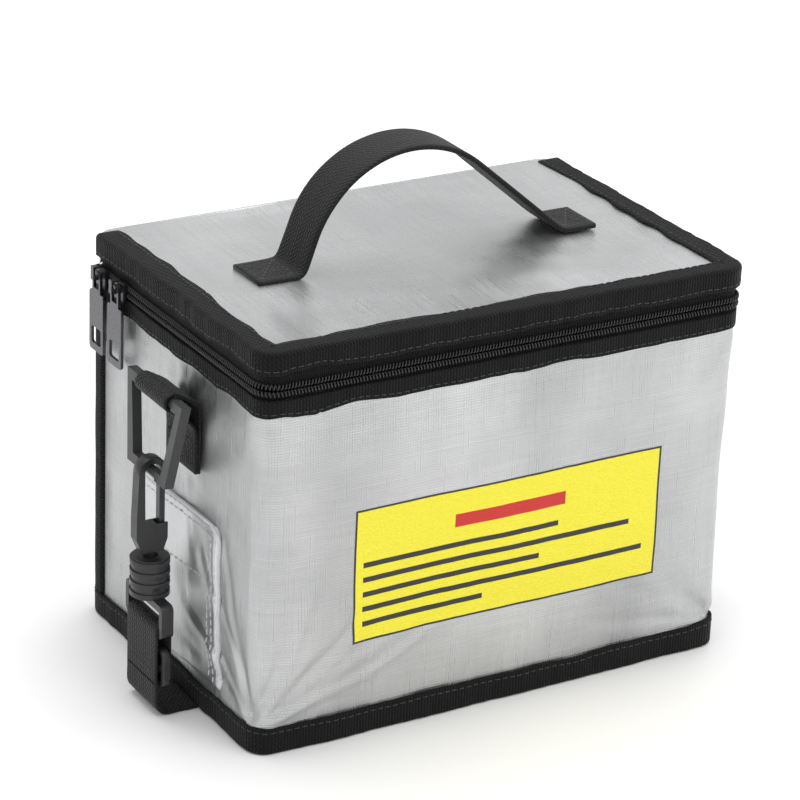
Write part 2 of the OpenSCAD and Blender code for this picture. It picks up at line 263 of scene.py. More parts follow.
def ribbon(name, path, side, width, thick, seed, wobble=0.12, closed=False, edge=0.45, **kw):
    """Webbing: a flat band with rounded, slightly wavy edges along a 3-D path; side is across it."""
    p = np.array(path, float)
    t = np.roll(p, -1, 0) - np.roll(p, 1, 0) if closed else np.gradient(p, axis=0)
    t /= np.linalg.norm(t, axis=1)[:, None]
    side = np.array(side, float)
    n = np.cross(t, side)
    n /= np.linalg.norm(n, axis=1)[:, None]
    a, b, r = width / 2, thick / 2, min(thick / 2, edge)
    prof = []
    for cx, cy, start in ((a - r, b - r, 0), (r - a, b - r, 90), (r - a, r - b, 180), (a - r, r - b, 270)):
        prof += arc_points(cx, cy, r, range(start, start + 91, 30))
        if start in (0, 180):
            way = 1 if start == 0 else -1
            prof += [(way * f * (a - r), way * b) for f in np.linspace(0.8, -0.8, 7)]
    prof = np.array(prof)
    s = arc_length(p)
    wide = 1 + (wobble * on_line(waves(seed, 10, 30), s))[:, None, None] / a
    V = p[:, None, :] + side * (prof[None, :, 0, None] * wide) + n[:, None, :] * prof[None, :, 1, None]
    UV = np.zeros((len(p) + closed, len(prof) + 1, 2))
    UV[..., 0] = (np.append(s, s[-1] + np.linalg.norm(p[0] - p[-1])) if closed else s)[:, None]
    UV[..., 1] = first_again(prof)[None, :, 0] + a
    return make(name, *grid(V, UV, wrap_u=closed, wrap_v=True, caps=not closed), **kw)


def stitches(name, rows, length=2.3, gap=1.0, r=0.24, sink=0.06, **kw):
    """Thread: short rounded stitches along rows of (points, outward normals), both in mm."""
    sections = [(-0.5, 0.25), (-0.38, 0.9), (0, 1.0), (0.38, 0.9), (0.5, 0.25)]
    sides = 6
    verts, faces = [], []
    for pts, nrm in rows:
        pts, nrm = np.array(pts, float), np.array(nrm, float)
        s = arc_length(pts)

        def at(v, x):
            return np.array([np.interp(x, s, v[:, m]) for m in range(3)])

        k = max(1, int(s[-1] // (length + gap)))
        for c in (np.arange(k) + 0.5) * s[-1] / k:
            p0, p1, n = at(pts, c - length / 2), at(pts, c + length / 2), at(nrm, c)
            n /= np.linalg.norm(n)
            t = p1 - p0
            long = np.linalg.norm(t)
            if long < 0.5:
                continue
            t /= long
            b = np.cross(t, n)
            mid = (p0 + p1) / 2 + n * (r * 0.55 - sink)
            base = len(verts)
            for u, share in sections:
                dip = -0.5 * r * (2 * abs(u)) ** 3
                for w in np.arange(sides) * 2 * math.pi / sides:
                    up, across = math.cos(w) * r * share * 0.8 + dip, math.sin(w) * r * share
                    verts.append(mid + t * (u * long) + n * up + b * across)
            for i in range(len(sections) - 1):
                for j in range(sides):
                    a0, a1 = base + i * sides + j, base + i * sides + (j + 1) % sides
                    faces.append((a0, a1, a1 + sides, a0 + sides))
            last = base + (len(sections) - 1) * sides
            faces.append([base + j for j in range(sides)][::-1])
            faces.append([last + j for j in range(sides)])
    return make(name, verts, faces, np.zeros((sum(len(f) for f in faces), 2)), **kw)


# ---- materials ----

class Nodes:
    """Small helper to wire a principled material."""

    def __init__(self, name, rough=0.5, metal=0.0, sheen=0.0, spec=0.5):
        self.m = bpy.data.materials.new(name)
        self.m.use_nodes = True
        self.t = self.m.node_tree
        self.t.nodes.clear()
        out = self.t.nodes.new("ShaderNodeOutputMaterial")
        self.p = self.node("BsdfPrincipled", {
            "Roughness": rough, "Metallic": metal, "Sheen Weight": sheen, "Sheen Roughness": 0.4,
            "Specular IOR Level": spec})
        self.put(out.inputs[0], self.p.outputs[0])
        self.bumps = None

    def node(self, kind, values):
        """A new shader node, its inputs set to numbers or linked to sockets."""
        n = self.t.nodes.new("ShaderNode" + kind)
        for key, v in values.items():
            self.put(n.inputs[key], v)
        return n

    def put(self, sock, v):
        if hasattr(v, "is_output"):
            self.t.links.new(v, sock)
        else:
            sock.default_value = v

    def math(self, op, a, b=0.0):
        n = self.node("Math", {0: a, 1: b})
        n.operation = op
        return n.outputs[0]

    def sine(self, v, period):
        return self.math("SINE", self.math("MULTIPLY", v, 2 * math.pi / period))

    def total(self, first, *rest):
        """Sum of numbers and sockets; a pair is a socket and its weight."""
        out = self.math("MULTIPLY", *first) if isinstance(first, tuple) else first
        for part in rest:
            out = self.math("ADD", out, self.math("MULTIPLY", *part) if isinstance(part, tuple) else part)
        return out

    def coords(self, kind):
        return self.node("TexCoord", {}).outputs[kind]

    def scaled(self, vec, scale):
        return self.node("Mapping", {"Vector": vec, "Scale": scale}).outputs[0]

    def split(self, vec):
        return self.node("SeparateXYZ", {0: vec}).outputs

    def noise(self, vec, scale, detail=2.0, rough=0.5):
        values = {"Vector": vec, "Scale": scale, "Detail": detail, "Roughness": rough}
        return self.node("TexNoise", values).outputs["Fac"]

    def ramp(self, fac, stops):
        n = self.node("ValToRGB", {0: fac})
        while len(n.color_ramp.elements) < len(stops):
            n.color_ramp.elements.new(0.5)
        for e, (pos, col) in zip(n.color_ramp.elements, stops):
            e.position = pos
            e.color = (*col, 1) if hasattr(col, "__len__") else (col, col, col, 1)
        return n.outputs[0]

    def mix(self, fac, a, b):
        n = self.node("Mix", {"Factor": fac})
        n.data_type = "RGBA"
        for k, v in ((6, a), (7, b)):
            self.put(n.inputs[k], (*v, 1) if isinstance(v, tuple) and len(v) == 3 else v)
        return n.outputs[2]

    def bump(self, height, dist, strength=1.0):
        n = self.node("Bump", {"Strength": strength, "Distance": dist, "Height": height})
        if self.bumps:
            self.put(n.inputs["Normal"], self.bumps)
        self.bumps = n.outputs[0]
        self.put(self.p.inputs["Normal"], self.bumps)

    def color(self, c):
        self.put(self.p.inputs["Base Color"], c)

    def rough(self, v):
        self.put(self.p.inputs["Roughness"], v)


def printed_label(n, uv, cloth, rough):
    """Yellow panel with plain bars on the front wall. None of it is lettering."""
    x, y, z = n.split(n.coords("Object"))
    front_face = -0.066  # metres; only the front wall lies beyond it

    def inside(x0, x1, z0, z1):
        m = n.math("GREATER_THAN", x, x0 * MM)
        for op, v, limit in (("LESS_THAN", x, x1 * MM), ("GREATER_THAN", z, z0 * MM), ("LESS_THAN", z, z1 * MM),
                             ("LESS_THAN", y, front_face)):
            m = n.math("MULTIPLY", m, n.math(op, v, limit))
        return m

    x0, x1, z0, z1 = LABEL
    wide, line, ink, red = x1 - x0, 0.9, (0.02, 0.02, 0.02), (0.60, 0.018, 0.012)
    panel = inside(x0, x1, z0, z1)
    yellow = n.ramp(n.noise(uv, 900.0), [(0.3, (0.86, 0.76, 0.02)), (0.7, (0.93, 0.84, 0.045))])
    col = n.mix(panel, cloth, ink)
    col = n.mix(inside(x0 + line, x1 - line, z0 + line, z1 - line), col, yellow)
    col = n.mix(inside(x0 + 0.32 * wide, x0 + 0.68 * wide, z1 - 16, z1 - 10.5), col, red)
    for k, end in enumerate((0.66, 0.90, 0.60, 0.95, 0.42)):
        zc = z1 - 23.5 - 6.1 * k
        col = n.mix(inside(x0 + 0.03 * wide, x0 + end * wide, zc - 1.1, zc + 1.1), col, ink)
    n.put(n.p.inputs["Metallic"], n.math("MULTIPLY", n.math("SUBTRACT", 1.0, panel), 0.85))
    n.rough(n.total((panel, 0.08), rough))
    return col


def silver_cloth(name, label=False, dark=0.0, ribs=0.05, coarse=1.0):
    """Aluminised woven cloth: dark dims it, ribs and coarse set how strongly the weave shows; coarse also
    scales the painted sheen bands.
    """
    n = Nodes(name, rough=0.36, metal=0.85, spec=0.5)
    uv = n.coords("UV")
    x, y, _ = n.split(uv)
    weft = n.sine(y, 0.0011)
    weave = n.math("MULTIPLY", n.sine(x, 0.0011), weft)
    streak_v = n.noise(n.scaled(uv, (900, 26, 1)), 1.0, 3)
    streak_h = n.noise(n.scaled(uv, (30, 900, 1)), 1.0, 3)
    # painted reflection: broad noise bands, stretched so they run up the walls, lighten and darken the base
    # colour like soft vertical sheen on the metallic cloth
    painted_sheen_bands = n.noise(n.scaled(uv, (16, 4, 1)), 1.0, 2)
    blotch = n.noise(uv, 38.0, 3)
    grain = n.noise(uv, 1600.0)
    shares = ((painted_sheen_bands, 0.45), (streak_v, 0.08), (streak_h, 0.12), (blotch, 0.12), (grain, 0.20))
    mean = 0.35 - 0.5 * coarse * sum(share for _, share in shares)
    # painted shade and highlight: the weave and the ribs, which are also bumps below, go into the colour as
    # well, lighter on their crests and darker in their hollows
    tone = n.total(mean, *((part, share * coarse) for part, share in shares), (weave, 0.05 * coarse),
                   (n.math("MULTIPLY", weft, streak_h), ribs))
    stops = [(at, tuple((v + tint) * (1 - dark) for tint in (0, 0.005, 0.010)))
             for at, v in ((0.20, 0.38), (0.35, 0.52), (0.50, 0.70))]
    col = n.ramp(tone, stops)
    rough = n.total((streak_v, 0.14), 0.22)
    n.rough(rough)
    n.color(printed_label(n, uv, col, rough) if label else col)
    n.bump(blotch, 0.0005, 0.3)
    n.bump(weave, 0.00007, 0.7 * coarse)
    n.bump(weft, 0.00006, ribs * 8)
    n.bump(streak_h, 0.00006, 0.35 * coarse)
    return n.m


def tape_cloth(name, base, rib):
    """Ribbed black tape; rib is the spacing of its ribs in metres."""
    n = Nodes(name, rough=0.78, sheen=0.05, spec=0.16)
    uv = n.coords("UV")
    x, y, _ = n.split(uv)
    height = n.total(n.sine(x, rib), (n.sine(n.math("ADD", x, y), rib * 1.5), 0.6))
    fuzz = n.noise(uv, 1400.0)
    wear = n.noise(uv, 60.0, 3)
    # painted shade and highlight: the rib height, which is also the bump, goes into the colour as well, darker
    # in the grooves and lighter on the crests; fuzz and wear are the tape's own tone
    tone = n.total((fuzz, 0.5), (wear, 0.35), (height, 0.13))
    n.color(n.ramp(tone, [(0.25, base * 0.55), (0.55, base * 1.2), (0.8, base * 2.6)]))
    n.rough(n.total((fuzz, 0.25), 0.58))
    n.bump(height, 0.00018, 0.9)
    n.bump(fuzz, 0.0001, 0.4)
    return n.m


def webbing_cloth(name, base):
    """Herringbone webbing: the twill turns back every 4 mm across the width."""
    n = Nodes(name, rough=0.68, sheen=0.08, spec=0.3)
    uv = n.coords("UV")
    x, y, _ = n.split(uv)
    twill = n.sine(n.math("ADD", x, n.math("PINGPONG", y, 0.004)), 0.0021)
    height = n.total((twill, 0.7), (n.sine(y, 0.0016), 0.5))
    fuzz = n.noise(uv, 1500.0)
    wear = n.noise(uv, 70.0, 3)
    # painted shade and highlight: the twill height, which is also the bump, goes into the colour as well,
    # darker in the grooves and lighter on the crests; fuzz and wear are the webbing's own tone
    tone = n.total((fuzz, 0.4), (wear, 0.3), (height, 0.14))
    n.color(n.ramp(tone, [(0.15, base * 0.45), (0.45, base * 1.2), (0.75, base * 3.2)]))
    n.rough(n.total((fuzz, 0.2), 0.55))
    n.bump(height, 0.00016, 0.8)
    n.bump(fuzz, 0.00008, 0.3)
    return n.m


def shades(c, low, high):
    """The colour c dimmed and brightened."""
    return tuple(v * low for v in c), tuple(min(1, v * high) for v in c)


def moulded(name, c, rough, grain=2600.0):
    n = Nodes(name, rough=rough)
    where = n.coords("Object")
    pits = n.noise(where, grain)
    cloud = n.noise(where, 150.0, 3)
    dim, bright = shades(c, 0.8, 1.2)
    n.color(n.ramp(n.total((pits, 0.5), (cloud, 0.5)), [(0.3, dim), (0.7, bright)]))
    n.rough(n.total((cloud, 0.3), rough - 0.15))
    n.bump(pits, 0.00004, 0.45)
    n.bump(cloud, 0.0001, 0.2)
    return n.m


def plated(name, c):
    n = Nodes(name, rough=0.3, metal=1.0)
    where = n.coords("Object")
    pits = n.noise(where, 900.0, 4, 0.7)
    brushed = n.noise(n.scaled(where, (3000, 3000, 120)), 1.0, 2)
    dim, bright = shades(c, 0.7, 1.5)
    n.color(n.ramp(pits, [(0.3, dim), (0.75, bright)]))
    n.rough(n.total((pits, 0.22), (brushed, 0.12), 0.16))
    n.bump(brushed, 0.00002, 0.4)
    n.bump(pits, 0.00005, 0.3)
    return n.m


def thread(name, c):
    n = Nodes(name, rough=0.6, sheen=0.3)
    fibre = n.noise(n.coords("Object"), 2600.0)
    dim, bright = shades(c, 0.7, 1.15)
    n.color(n.ramp(fibre, [(0.3, dim), (0.7, bright)]))
    n.bump(fibre, 0.00008, 0.6)
    return n.m


# painted highlight: this copy of the silver cloth is 12 % lighter than the walls' so that the lid's top reads
# as the face lit from above; the underside, side pocket and back fold use it too
M_SILVER_LIT = silver_cloth("silver_cloth", dark=-0.12, ribs=0.02, coarse=0.55)
M_FRONT = silver_cloth("silver_cloth_printed", label=True, ribs=0.07)
M_LINING = silver_cloth("lining_cloth", dark=0.25)
M_HEM = thread("pale_hem", (0.66, 0.67, 0.68))
M_TAPE = tape_cloth("binding_tape", base=0.0055, rib=0.0013)
M_ZIPTAPE = tape_cloth("zip_tape", base=0.005, rib=0.0008)
M_WEB = webbing_cloth("webbing", base=0.006)
M_COIL = moulded("coil_nylon", (0.022, 0.022, 0.023), rough=0.32, grain=4000.0)
M_RING = moulded("ring_plastic", (0.040, 0.041, 0.043), rough=0.42)
M_HOOK = moulded("hook_plastic", (0.018, 0.018, 0.020), rough=0.38)
M_GATE = moulded("gate_plastic", (0.026, 0.026, 0.028), rough=0.34)
M_METAL = plated("zip_metal", (0.12, 0.12, 0.128))
M_WHITE = thread("pale_thread", (0.62, 0.63, 0.64))
M_GREY = thread("grey_thread", (0.028, 0.028, 0.030))

SILVER_ON_BAG = dict(mat=M_SILVER_LIT, body="bag", slot="silver_skin")
TAPE_ON_BAG = dict(mat=M_TAPE, body="bag", slot="binding_tape")
TAPE_ON_LID = dict(mat=M_TAPE, body="lid", slot="binding_tape")
WEB_ON_BAG = dict(mat=M_WEB, body="bag", slot="webbing")


def webbing_seams(name, rows, body, length=2.0, r=0.22):
    stitches(name, rows, length=length, gap=0.9, r=r, mat=M_GREY, body=body, slot="webbing")


# ---- the body's skin: walls puffed by a cloth simulation ----

def simulate(ob, pinned, pressure, frames=20):
    """Puffs a sheet held at the pinned vertices. Gravity is off: the padding holds the cloth up."""
    ob.vertex_groups.new(name="pin").add(np.flatnonzero(pinned).tolist(), 1.0, "REPLACE")
    mod = ob.modifiers.new("Cloth", "CLOTH")
    s = mod.settings
    s.quality, s.mass = 6, 0.25
    s.tension_stiffness = s.compression_stiffness = 12
    s.shear_stiffness, s.bending_stiffness = 6, 1.5
    s.vertex_group_mass = "pin"
    s.use_pressure, s.uniform_pressure_force = True, pressure
    s.effector_weights.gravity = 0
    mod.point_cache.frame_start, mod.point_cache.frame_end = 1, frames
    scene = bpy.context.scene
    scene.frame_start, scene.frame_end = 1, frames
    for f in range(1, frames + 1):
        scene.frame_set(f)
    ev = ob.evaluated_get(bpy.context.evaluated_depsgraph_get())
    co = np.empty(len(ob.data.vertices) * 3)
    ev.data.vertices.foreach_get("co", co)
    ob.modifiers.clear()
    scene.frame_set(1)
    return co.reshape(-1, 3) / MM


def finer(A, k):
    """Resamples a grid k times finer both ways, smoothly. Its rows close on themselves."""
    def along(B, wrap):
        n = len(B)
        t = np.arange(n * k if wrap else (n - 1) * k + 1) / k
        i = np.floor(t).astype(int)
        share = (t - i)[(...,) + (None,) * (B.ndim - 1)]
        a, b, c, d = (B[j % n] if wrap else B[np.clip(j, 0, n - 1)] for j in (i - 1, i, i + 1, i + 2))
        return catmull_rom(a, b, c, d, share)

    return np.swapaxes(along(np.swapaxes(along(A, True), 0, 1), False), 0, 1)


def creases(u, z, items):
    """Sum of soft creases: each is (u0, z0, u1, z1, width, height)."""
    out = np.zeros(np.broadcast(u, z).shape)
    for u0, z0, u1, z1, w, h in items:
        d = np.array([u1 - u0, z1 - z0])
        long = np.hypot(*d)
        d /= long
        a = (u - u0) * d[0] + (z - z0) * d[1]
        b = (z - z0) * d[0] - (u - u0) * d[1] + 1.4 * np.sin(a / 11 + u0)
        ends = np.exp(-(np.clip(-a, 0, None) / 6) ** 2 - (np.clip(a - long, 0, None) / 6) ** 2)
        fade = ends * (1 - 0.6 * np.clip(a / long, 0, 1))
        out += h * fade * (np.exp(-(b / w) ** 2) - 0.55 * np.exp(-((b - 1.7 * w) / (1.3 * w)) ** 2))
    return out


def fan(g, u0, z0, a0, a1, n, length, height):
    """Creases that spread from (u0, z0) between the angles a0 and a1."""
    out = []
    for k in range(n):
        w = math.radians(a0 + (a1 - a0) * (k + g.uniform(0.1, 0.9)) / n)
        near = g.uniform(2, 9)
        far = near + g.uniform(*length)
        out.append((u0 + near * math.cos(w), z0 + near * math.sin(w),
                    u0 + far * math.cos(w), z0 + far * math.sin(w),
                    g.uniform(1.8, 3.6), g.uniform(0.5, 1.0) * height * g.choice([-1, 1])))
    return out


P0, N0, S0 = perimeter(SX, SY, CORNER, step=3.6)
SKIN_Z = np.linspace(2.2, SEAM - 0.7, 42)


def nearest(x, y):
    """Arc length where the walls pass nearest to (x, y)."""
    return S0[np.argmin(np.hypot(P0[:, 0] - x, P0[:, 1] - y))]


back_left, back_right = nearest(-SX, SY), nearest(SX, SY)
front_left, front_right = nearest(-SX, -SY), nearest(SX, -SY)
left_start = nearest(-SX, SY - CORNER)
strap_left, strap_right = left_start + SY - CORNER - STRAP_Y, front_right + SY + STRAP_Y


def calm(u):
    """0 under the tapes of the two back corners, 1 away from them."""
    return np.clip((np.minimum(np.abs(u - back_left), np.abs(u - back_right)) - 12) / 9, 0, 1)


def puffed(flat):
    """The flat walls blown out between the bottom binding and the rim band."""
    UV = np.stack(np.meshgrid(S0, SKIN_Z, indexing="ij"), -1)
    sheet = make("sim_walls", *grid(flat, UV, wrap_u=True))
    held = (flat[..., 2] < BIND_HI - 1) | (flat[..., 2] > RIM_LO + 1)
    held |= (np.abs(flat[..., 0]) > SX - 9) & (flat[..., 1] > SY - 9)
    move = simulate(sheet, held.ravel(), 2.2).reshape(flat.shape) - flat
    bpy.data.objects.remove(sheet, do_unlink=True)
    size = np.linalg.norm(move, axis=-1, keepdims=True) + 1e-9
    cap = np.where(np.abs(flat[..., :1]) > SX - 4, 2.0, 2.6)
    return flat + move / size * cap * np.tanh(size / cap)


def wall_creases():
    """Folds that fan from the corners, the ring tabs and the rim, and short puckers along the bindings."""
    g = np.random.default_rng(21)
    items = []
    for c, h in ((front_left, 0.95), (front_right, 0.8)):
        items += fan(g, c, BIND_HI, 12, 85, 7, (30, 85), h) + fan(g, c, BIND_HI, 95, 168, 7, (26, 70), h)
        for a0, a1 in ((-12, -80), (-100, -168)):
            items += fan(g, c, RIM_LO, a0, a1, 4, (14, 34), 0.35)
    for c in (left_start - 6, back_right):
        items += fan(g, c, BIND_HI, 20, 80, 4, (20, 50), 0.5) + fan(g, c, BIND_HI, 100, 160, 4, (20, 50), 0.5)
    for c in (strap_left, strap_right):
        items += fan(g, c, 126, 25, 155, 5, (12, 26), 0.7) + fan(g, c, 98, -150, -30, 4, (14, 34), 0.6)
        for _ in range(6):
            v = c + g.uniform(-48, 52)
            items.append((v, RIM_LO, v + g.uniform(-12, 12), RIM_LO - g.uniform(22, 52),
                          g.uniform(2.6, 5.0), g.uniform(0.35, 0.75) * g.choice([-1, 1])))
    for _ in range(26):
        c = g.uniform(0, S0[-1])
        z0, way = (BIND_HI, 1) if g.random() < 0.6 else (RIM_LO, -1)
        items.append((c, z0, c + g.uniform(-7, 7), z0 + way * g.uniform(8, 22),
                      g.uniform(1.4, 2.4), g.uniform(0.15, 0.34) * g.choice([-1, 1])))
    return items


def body_skin(detail=3):
    """The silver walls, with their creases, on a grid detail times finer than the simulated one."""
    # under the zip the skin stops behind the rim band; at the back it runs on up to the fold
    tall = SKIN_Z[-1] - SKIN_Z[0]
    reach = np.where(P0[:, 1] > U_END + 0.5, 1.0, (RIM_HI - 0.8 - SKIN_Z[0]) / tall)
    flat = stand_off(P0, N0, 0.0, SKIN_Z[0] + (SKIN_Z - SKIN_Z[0])[None] * reach[:, None])
    coarse = flat + (puffed(flat) - flat) * calm(S0[:-1])[:, None, None]
    nu, nz = coarse.shape[:2]
    W = finer(coarse, detail)
    outward = finer(np.repeat(N0[:, None, :], nz, 1), detail)
    outward /= np.linalg.norm(outward, axis=-1, keepdims=True)
    s = np.interp(np.arange(nu * detail + 1) / detail, np.arange(nu + 1), S0)
    u, z = s[:-1, None] + 0 * W[..., 2], W[..., 2]
    side = ((u > left_start) & (u < front_left)) | ((u > front_right) & (u < back_right))
    rumple = 0.30 * waves(5, 24, 70)(u, z)
    rumple += 0.13 * waves(6, 30, 24, (1.0, 1.6))(u, z)
    rumple += 0.035 * waves(8, 30, 9, (0.8, 2.2))(u, z)
    height = creases(u, z, wall_creases()) + np.where(side, 1.5, 1.0) * rumple
    edge = np.clip((z - BIND_HI + 2) / 6, 0, 1) * np.clip((RIM_LO + 1.5 - z) / 6, 0, 1)
    W[..., :2] += outward * (height * edge * calm(u))[..., None]
    behind_strap = np.where(W[..., 0] > SX - 4, HX + 0.75, np.inf)
    W[..., 0] = np.minimum(W[..., 0], behind_strap)
    UV = np.stack(np.meshgrid(s, np.linspace(SKIN_Z[0], SKIN_Z[-1], W.shape[1]), indexing="ij"), -1)
    v, f, uv = grid(W, UV, wrap_u=True)
    skin = make("body_skin", v, f, uv, mat=M_FRONT, body="bag", slot="silver_skin",
                nodes=["outer_shell", "back_panel"])
    return tree_of(v, f)


wall_tree = body_skin()


def on_wall(y, z, side=-1):
    """X of the side wall's skin at (y, z)."""
    hit = wall_tree.ray_cast(Vector((side * 160, y, z)), Vector((-side, 0, 0)))[0]
    return hit.x if hit else side * SX


# ---- underside and lining ----

def rings(path, scales, height, inset=0.0):
    """Closed rings of the plan outline shrunk towards the middle, for tops and floors."""
    P, N, _ = path
    A = np.zeros((len(P), len(scales), 3))
    A[..., :2] = (P - N * inset)[:, None, :] * np.array(scales)[None, :, None]
    A[..., 2] = height(A[..., 0], A[..., 1])
    return A


lining_path = perimeter(SX, SY, CORNER, step=3.0)


def bottom_cloth():
    ripple = waves(31, 16, 60)
    A = rings(lining_path, np.linspace(0.995, 0.0, 26),
              lambda x, y: 2.0 + 0.35 * np.clip(ripple(x, y), -0.4, 1))
    UV = first_again(A[..., :2])
    make("bottom_cloth", *grid(A, UV, wrap_u=True), nodes=["bottom_panel"], **SILVER_ON_BAG)


def inner_lining(floor_z=5.2):
    """Padded lining: its walls swell inward, more in the corners, and its floor is nearly flat."""
    P, N, S = lining_path
    prof = [(-1.3, SEAM - 4.9), (-2.2, SEAM - 4.6), (-3.2, SEAM - 5.0), (-3.8, SEAM - 6.4)]
    prof += [(-3.8, z) for z in np.linspace(SEAM - 9, 9.5, 36)]
    prof += [(-4.3, 7.2), (-5.6, 5.7), (-7.6, floor_z)]
    d, z = np.array(prof).T
    swell = 1.2 * np.sin(np.pi * np.clip((z - 5) / (SEAM - 12), 0, 1)) ** 0.5
    D = d[None] - swell[None] * (0.75 + 0.25 * on_grid(waves(41, 14, 50), S[:-1, None], z[None]))
    D = D + (np.abs(N[:, 0] * N[:, 1]) * 2)[:, None] * swell[None] * 0.9
    walls = stand_off(P, N, D, z[None])
    shrink = np.linspace(0.97, 0.0, 24)
    floor = np.repeat(walls[:, -1:], len(shrink), 1)
    floor[..., :2] *= shrink[None, :, None]
    ripple = np.clip(waves(43, 20, 46)(floor[..., 0], floor[..., 1]), -0.5, 1)
    floor[..., 2] = floor_z + 0.35 * ripple * np.sin(np.pi * (1 - shrink))[None].clip(0) ** 0.5
    A = np.concatenate([walls, floor], 1)
    UV = np.stack([np.repeat(S[:, None], A.shape[1], 1), first_again(down_length(A))], -1)
    pad = make("inner_lining", *grid(A, UV, wrap_u=True, flip=True), mat=M_LINING, body="bag", slot="lining",
               nodes=["lining", "wall_padding", "base_board"])


bottom_cloth()
inner_lining()

# ---- lid ----

lid_path = perimeter(SX, SY, CORNER, step=2.4)
LID_Z = TOP - 0.8
lid_sag, lid_ripple = waves(51, 26, 60), waves(52, 30, 17)


def lid_top(x, y):
    """Height of the lid cloth: it sags a little, and less beside the handle's tabs."""
    inside = np.clip(np.minimum(SX - np.abs(x), SY - np.abs(y)) / 12, 0, 1)
    near_tab = np.exp(-(((np.abs(x) - 62) / 16) ** 2 + (y / 16) ** 2))
    sag = -0.35 + 0.42 * lid_sag(x, y) + 0.14 * lid_ripple(x, y)
    return LID_Z + inside * sag * (1 - 0.8 * near_tab) - 0.15 * near_tab


def lid_cover(edge_r=2.6, rows=6):
    """The lid's silver cloth: its top, the rounded edge and a skirt, longer at the back."""
    P, N, S = lid_path
    scales = np.concatenate([np.linspace(0.0, 0.93, 40), [0.945, 0.955]])
    top = rings(lid_path, scales, lid_top)
    d, z = np.array(arc_points(-edge_r, LID_Z - edge_r, edge_r, np.linspace(90, 0, 7))).T
    edge = stand_off(P, N, d[None], z[None])
    low = np.where(P[:, 1] > SY - 7, SEAM + 0.5, SEAM + 8.4)[:, None]
    t = (np.arange(rows)[None] + 1) / rows
    wander = 0.10 * on_line(waves(53, 18, 30), S[:-1])[:, None] * np.sin(np.pi * t)
    skirt = stand_off(P, N, wander, (LID_Z - edge_r) * (1 - t) + low * t)
    A = np.concatenate([top, edge, skirt], 1)
    m = len(scales)
    run = down_length(A)
    UV = A[..., :2].copy()
    UV[:, m:] = P[:, None, :] + N[:, None, :] * (run[:, m:, None] - run[:, m - 1:m, None])
    cover = make("lid_cover", *grid(A, first_again(UV), wrap_u=True, flip=True), mat=M_SILVER_LIT, body="lid",
                 slot="silver_skin", nodes=["lid_panel", "lid_back_strip"])


def lid_lining_pad():
    """The quilted pad under the lid."""
    lining_z = node_box("lid_lining")[0][2]
    quilt = waves(61, 22, 48)

    def under(x, y):
        inside = np.clip(np.minimum(SX - 2 - np.abs(x), SY - 2 - np.abs(y)) / 26, 0, 1) ** 0.6
        return lining_z + 1.2 - inside * (1.9 + 0.3 * quilt(x, y))

    A = rings(lid_path, np.linspace(0.0, 0.985, 36), under, inset=1.3)
    pad = make("lid_lining_pad", *grid(A, first_again(A[..., :2]), wrap_u=True), mat=M_LINING, body="lid",
               slot="lining", nodes=["lid_lining", "lid_padding"])


def back_fold():
    """The cloth at the back where the lid hinges. It is attached to neither body."""
    z = np.linspace(SEAM - 11, SEAM + 9, 30)
    x = np.linspace(-SX + 9, SX - 9, 100)
    A = np.zeros((len(x), len(z), 3))
    A[..., 0] = x[:, None]
    A[..., 1] = SY + 0.35 - 0.3 * np.exp(-((z[None] - SEAM) / 1.8) ** 2)
    A[..., 1] += 0.18 * on_grid(waves(71, 14, 26), x[:, None], z[None])
    A[..., 2] = z[None]
    A[:, 0, 1] = A[:, -1, 1] = SY - 0.2
    UV = np.stack(np.meshgrid(-x, z, indexing="ij"), -1)
    hinge = make("back_fold_cloth", *grid(A, UV), mat=M_SILVER_LIT, slot="silver_skin")
    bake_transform(hinge)


lid_cover()
lid_lining_pad()
back_fold()

# ---- bindings, rim band and zip ----

full = perimeter(SX, SY, CORNER, step=2.2)
open_body = perimeter(SX, SY, CORNER, step=2.2, y_end=U_END)
open_lid = perimeter(SX, SY, CORNER, step=2.2, y_end=SY - 6.2)
BOTTOM_DRIFT = dict(seed=81, wobble=0.36)
RIM_DRIFT = dict(seed=82, wobble=0.32)
LID_DRIFT = dict(seed=85, wobble=0.38)


def tape_profile(z0, z1, d0, d1, r):
    """Closed profile of a flat tape standing on the skin, its free edges rounded."""
    middle = [(d1, z) for z in np.linspace(z0 + r, z1 - r, 6)[1:-1]]
    low = arc_points(d1 - r, z0 + r, r, (-90, -60, -30, 0))
    high = arc_points(d1 - r, z1 - r, r, (0, 30, 60, 90))
    return [(d0, z0)] + low + middle + high + [(d0, z1)]


def notch(V):
    """Lifts the binding's underside over the strap that passes below the bag."""
    clear = 1.75
    over = (np.abs(V[..., 1] - STRAP_Y) < STRAP_W / 2 + 1) & (np.abs(V[..., 0]) > 60) & (V[..., 2] < clear)
    V[..., 2] = np.where(over, clear, np.maximum(V[..., 2], 0.0))
    return V


def bottom_binding():
    prof = [(-8.8, 1.7), (-8.9, 0.9), (-8.7, 0.1), (-6, 0.0), (-3, 0.0), (0.2, 0.0)]
    prof += arc_points(OUT - 1.1, 1.05, 1.05, (-60, -30, 0))
    prof += [(OUT - 0.05, z) for z in (3, 5, 7, 9)]
    prof += arc_points(OUT - 0.5, BIND_HI - 0.5, 0.45, (0, 35, 70, 100))
    prof += [(-0.3, BIND_HI - 0.3), (-0.3, 2.0)]
    sweep("bottom_edge_binding", prof, full, zfree=lambda d, z: np.clip((z - 3) / 8, 0, 1) * 1.5, lift=notch,
          nodes=["bottom_binding"], **BOTTOM_DRIFT, **TAPE_ON_BAG)


